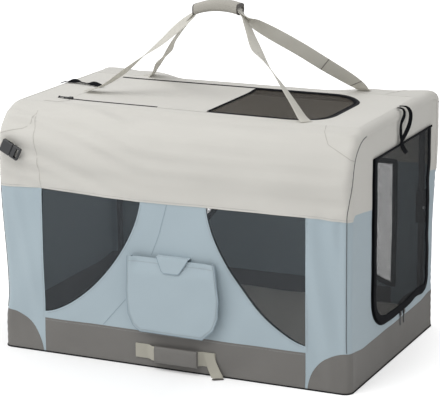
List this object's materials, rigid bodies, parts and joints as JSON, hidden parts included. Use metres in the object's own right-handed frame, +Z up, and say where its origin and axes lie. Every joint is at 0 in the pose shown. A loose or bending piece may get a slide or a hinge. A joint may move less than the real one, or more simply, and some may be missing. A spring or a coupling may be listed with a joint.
{
  "type": "soft folding dog crate",
  "caption": "Fabric pet crate on a folding steel tube frame, with mesh windows, roof and end doors, a padded floor, a pocket and carry straps.",
  "frame": {"origin": "bottom centre of the bounding box, on the floor under the crate", "axes": "+X along the long side towards the end door, -Y out of the front wall with the pocket, +Z up"},
  "size_m": [0.9372, 0.6024, 0.852],
  "materials": {
    "beige_cloth": "matte woven polyester",
    "blue_cloth": "matte woven polyester",
    "grey_cloth": "matte woven polyester",
    "dark_mesh": "open knitted mesh",
    "black_binding": "woven tape",
    "webbing": "ribbed webbing",
    "grip_cloth": "padded cloth",
    "black_plastic": "moulded, satin",
    "grey_plastic": "moulded, satin",
    "painted_tube": "powder coat",
    "zinc": "zinc plated",
    "fleece": "fleece pile"
  },
  "bodies": {
    "base": {"base_frame": "painted_tube", "base_clamp_left_front": "grey_plastic", "base_clamp_left_back": "grey_plastic", "base_clamp_right_front": "grey_plastic", "base_clamp_right_back": "grey_plastic", "bottom_cover": "grey_cloth", "fleece_mat": "fleece", "base_handle_webbing": "webbing", "base_handle_grip": "grey_cloth", "front_wall": "blue_cloth", "front_window_left": "dark_mesh", "front_window_right": "dark_mesh", "back_wall": "blue_cloth", "back_window_left": "dark_mesh", "back_window_right": "dark_mesh", "end_wall_left": "blue_cloth", "end_wall_right": "blue_cloth", "pocket": "blue_cloth", "buckle_webbing": "webbing", "buckle_socket": "black_plastic"},
    "pocket_flap": {"pocket_flap": "blue_cloth"},
    "buckle_plug": {"buckle_plug": "black_plastic"},
    "lower_left": {"lower_hoop_left": "painted_tube", "knee_lower_left_front": "black_plastic", "knee_lower_left_back": "black_plastic", "knee_pin_left_front": "zinc", "knee_pin_left_back": "zinc"},
    "lower_right": {"lower_hoop_right": "painted_tube", "knee_lower_right_front": "black_plastic", "knee_lower_right_back": "black_plastic", "knee_pin_right_front": "zinc", "knee_pin_right_back": "zinc"},
    "upper_left": {"upper_hoop_left": "painted_tube", "knee_upper_left_front": "black_plastic", "knee_upper_left_back": "black_plastic"},
    "upper_right": {"upper_hoop_right": "painted_tube", "knee_upper_right_front": "black_plastic", "knee_upper_right_back": "black_plastic"},
    "roof": {"roof_rail_front": "painted_tube", "roof_rail_back": "painted_tube", "roof_sleeve_left_front": "grey_plastic", "roof_sleeve_left_back": "grey_plastic", "roof_sleeve_right_front": "grey_plastic", "roof_sleeve_right_back": "grey_plastic", "roof_panel": "beige_cloth", "carry_strap_front": "webbing", "carry_strap_back": "webbing", "roof_tie": "black_binding", "end_tie": "black_binding"},
    "roof_door": {"roof_door_cloth": "beige_cloth", "roof_door_mesh": "dark_mesh"},
    "carry_grip": {"carry_grip": "grip_cloth"},
    "end_door": {"end_door": "dark_mesh"},
    "roof_zip_slider": {"roof_zip_slider": "black_plastic"},
    "end_zip_slider_front": {"end_zip_slider_front": "black_plastic"},
    "end_zip_slider_back": {"end_zip_slider_back": "black_plastic"},
    "lock_button_left_front": {"lock_button_left_front": "grey_plastic"},
    "lock_button_left_back": {"lock_button_left_back": "grey_plastic"},
    "lock_button_right_front": {"lock_button_right_front": "grey_plastic"},
    "lock_button_right_back": {"lock_button_right_back": "grey_plastic"}
  },
  "joints": [
    {"name": "fold", "type": "hinge", "parent": "base", "child": "lower_left", "pos_m": [-0.43665, 0.0112, 0.0338], "axis": [0, 1, 0], "range_deg": [0, 87], "deforming": ["front_wall", "front_window_left", "front_window_right", "back_wall", "back_window_left", "back_window_right", "end_wall_left", "end_wall_right", "pocket", "pocket_flap", "buckle_webbing", "buckle_socket", "buckle_plug", "end_door"]},
    {"name": "knee_left", "type": "hinge", "parent": "lower_left", "child": "upper_left", "pos_m": [-0.44815, 0.0112, 0.31565], "axis": [0, 1, 0], "range_deg": [-174, 0]},
    {"name": "roof_left", "type": "hinge", "parent": "upper_left", "child": "roof", "pos_m": [-0.43665, 0.0112, 0.5975], "axis": [0, 1, 0], "range_deg": [0, 87]},
    {"name": "foot_right", "type": "hinge", "parent": "base", "child": "lower_right", "pos_m": [0.42335, 0.0112, 0.0338], "axis": [0, 1, 0], "range_deg": [-87, 0]},
    {"name": "knee_right", "type": "hinge", "parent": "lower_right", "child": "upper_right", "pos_m": [0.43485, 0.0112, 0.31565], "axis": [0, 1, 0], "range_deg": [0, 174]},
    {"name": "lock_left_front", "type": "slide", "parent": "upper_left", "child": "lock_button_left_front", "axis": [-1, 0, 0], "range_m": [0, 0.004], "stiffness_N_per_m": 400},
    {"name": "lock_left_back", "type": "slide", "parent": "upper_left", "child": "lock_button_left_back", "axis": [-1, 0, 0], "range_m": [0, 0.004], "stiffness_N_per_m": 400},
    {"name": "lock_right_front", "type": "slide", "parent": "upper_right", "child": "lock_button_right_front", "axis": [1, 0, 0], "range_m": [0, 0.004], "stiffness_N_per_m": 400},
    {"name": "lock_right_back", "type": "slide", "parent": "upper_right", "child": "lock_button_right_back", "axis": [1, 0, 0], "range_m": [0, 0.004], "stiffness_N_per_m": 400},
    {"name": "pocket_flap", "type": "hinge", "parent": "base", "child": "pocket_flap", "pos_m": [0.00135, -0.2791, 0.285], "axis": [-1, 0, 0], "range_deg": [0, 80]},
    {"name": "buckle_plug", "type": "slide", "parent": "base", "child": "buckle_plug", "axis": [0.891, 0, -0.454], "range_m": [0, 0.03]},
    {"name": "roof_door", "type": "hinge", "parent": "roof", "child": "roof_door", "pos_m": [-0.35665, 0.0112, 0.61], "axis": [0, -1, 0], "range_deg": [0, 105], "deforming": ["carry_strap_front", "carry_strap_back", "carry_grip"]},
    {"name": "carry_grip", "type": "slide", "parent": "roof", "child": "carry_grip", "axis": [0, 0, -1], "range_m": [0, 0.19]},
    {"name": "end_door", "type": "hinge", "parent": "roof", "child": "end_door", "pos_m": [0.44865, 0.0672, 0.53], "axis": [0, -1, 0], "range_deg": [0, 100], "deforming": ["end_tie"]},
    {"name": "roof_zip", "type": "slide", "parent": "roof", "child": "roof_zip_slider", "axis": [0.9992, -0.0409, 0], "range_m": [0, 0.53]},
    {"name": "end_zip_front", "type": "slide", "parent": "base", "child": "end_zip_slider_front", "axis": [0, -1, 0], "range_m": [0, 0.12]},
    {"name": "end_zip_back", "type": "slide", "parent": "base", "child": "end_zip_slider_back", "axis": [0, 1, 0], "range_m": [0, 0.12]}
  ],
  "couplings": [
    {"joint": "knee_left", "follows": "fold", "ratio": -2},
    {"joint": "roof_left", "follows": "fold", "ratio": 1},
    {"joint": "foot_right", "follows": "fold", "ratio": -1},
    {"joint": "knee_right", "follows": "fold", "ratio": 2},
    {"joint": "carry_grip", "follows": "roof_door", "m_per_rad": 0.10367}
  ]
}
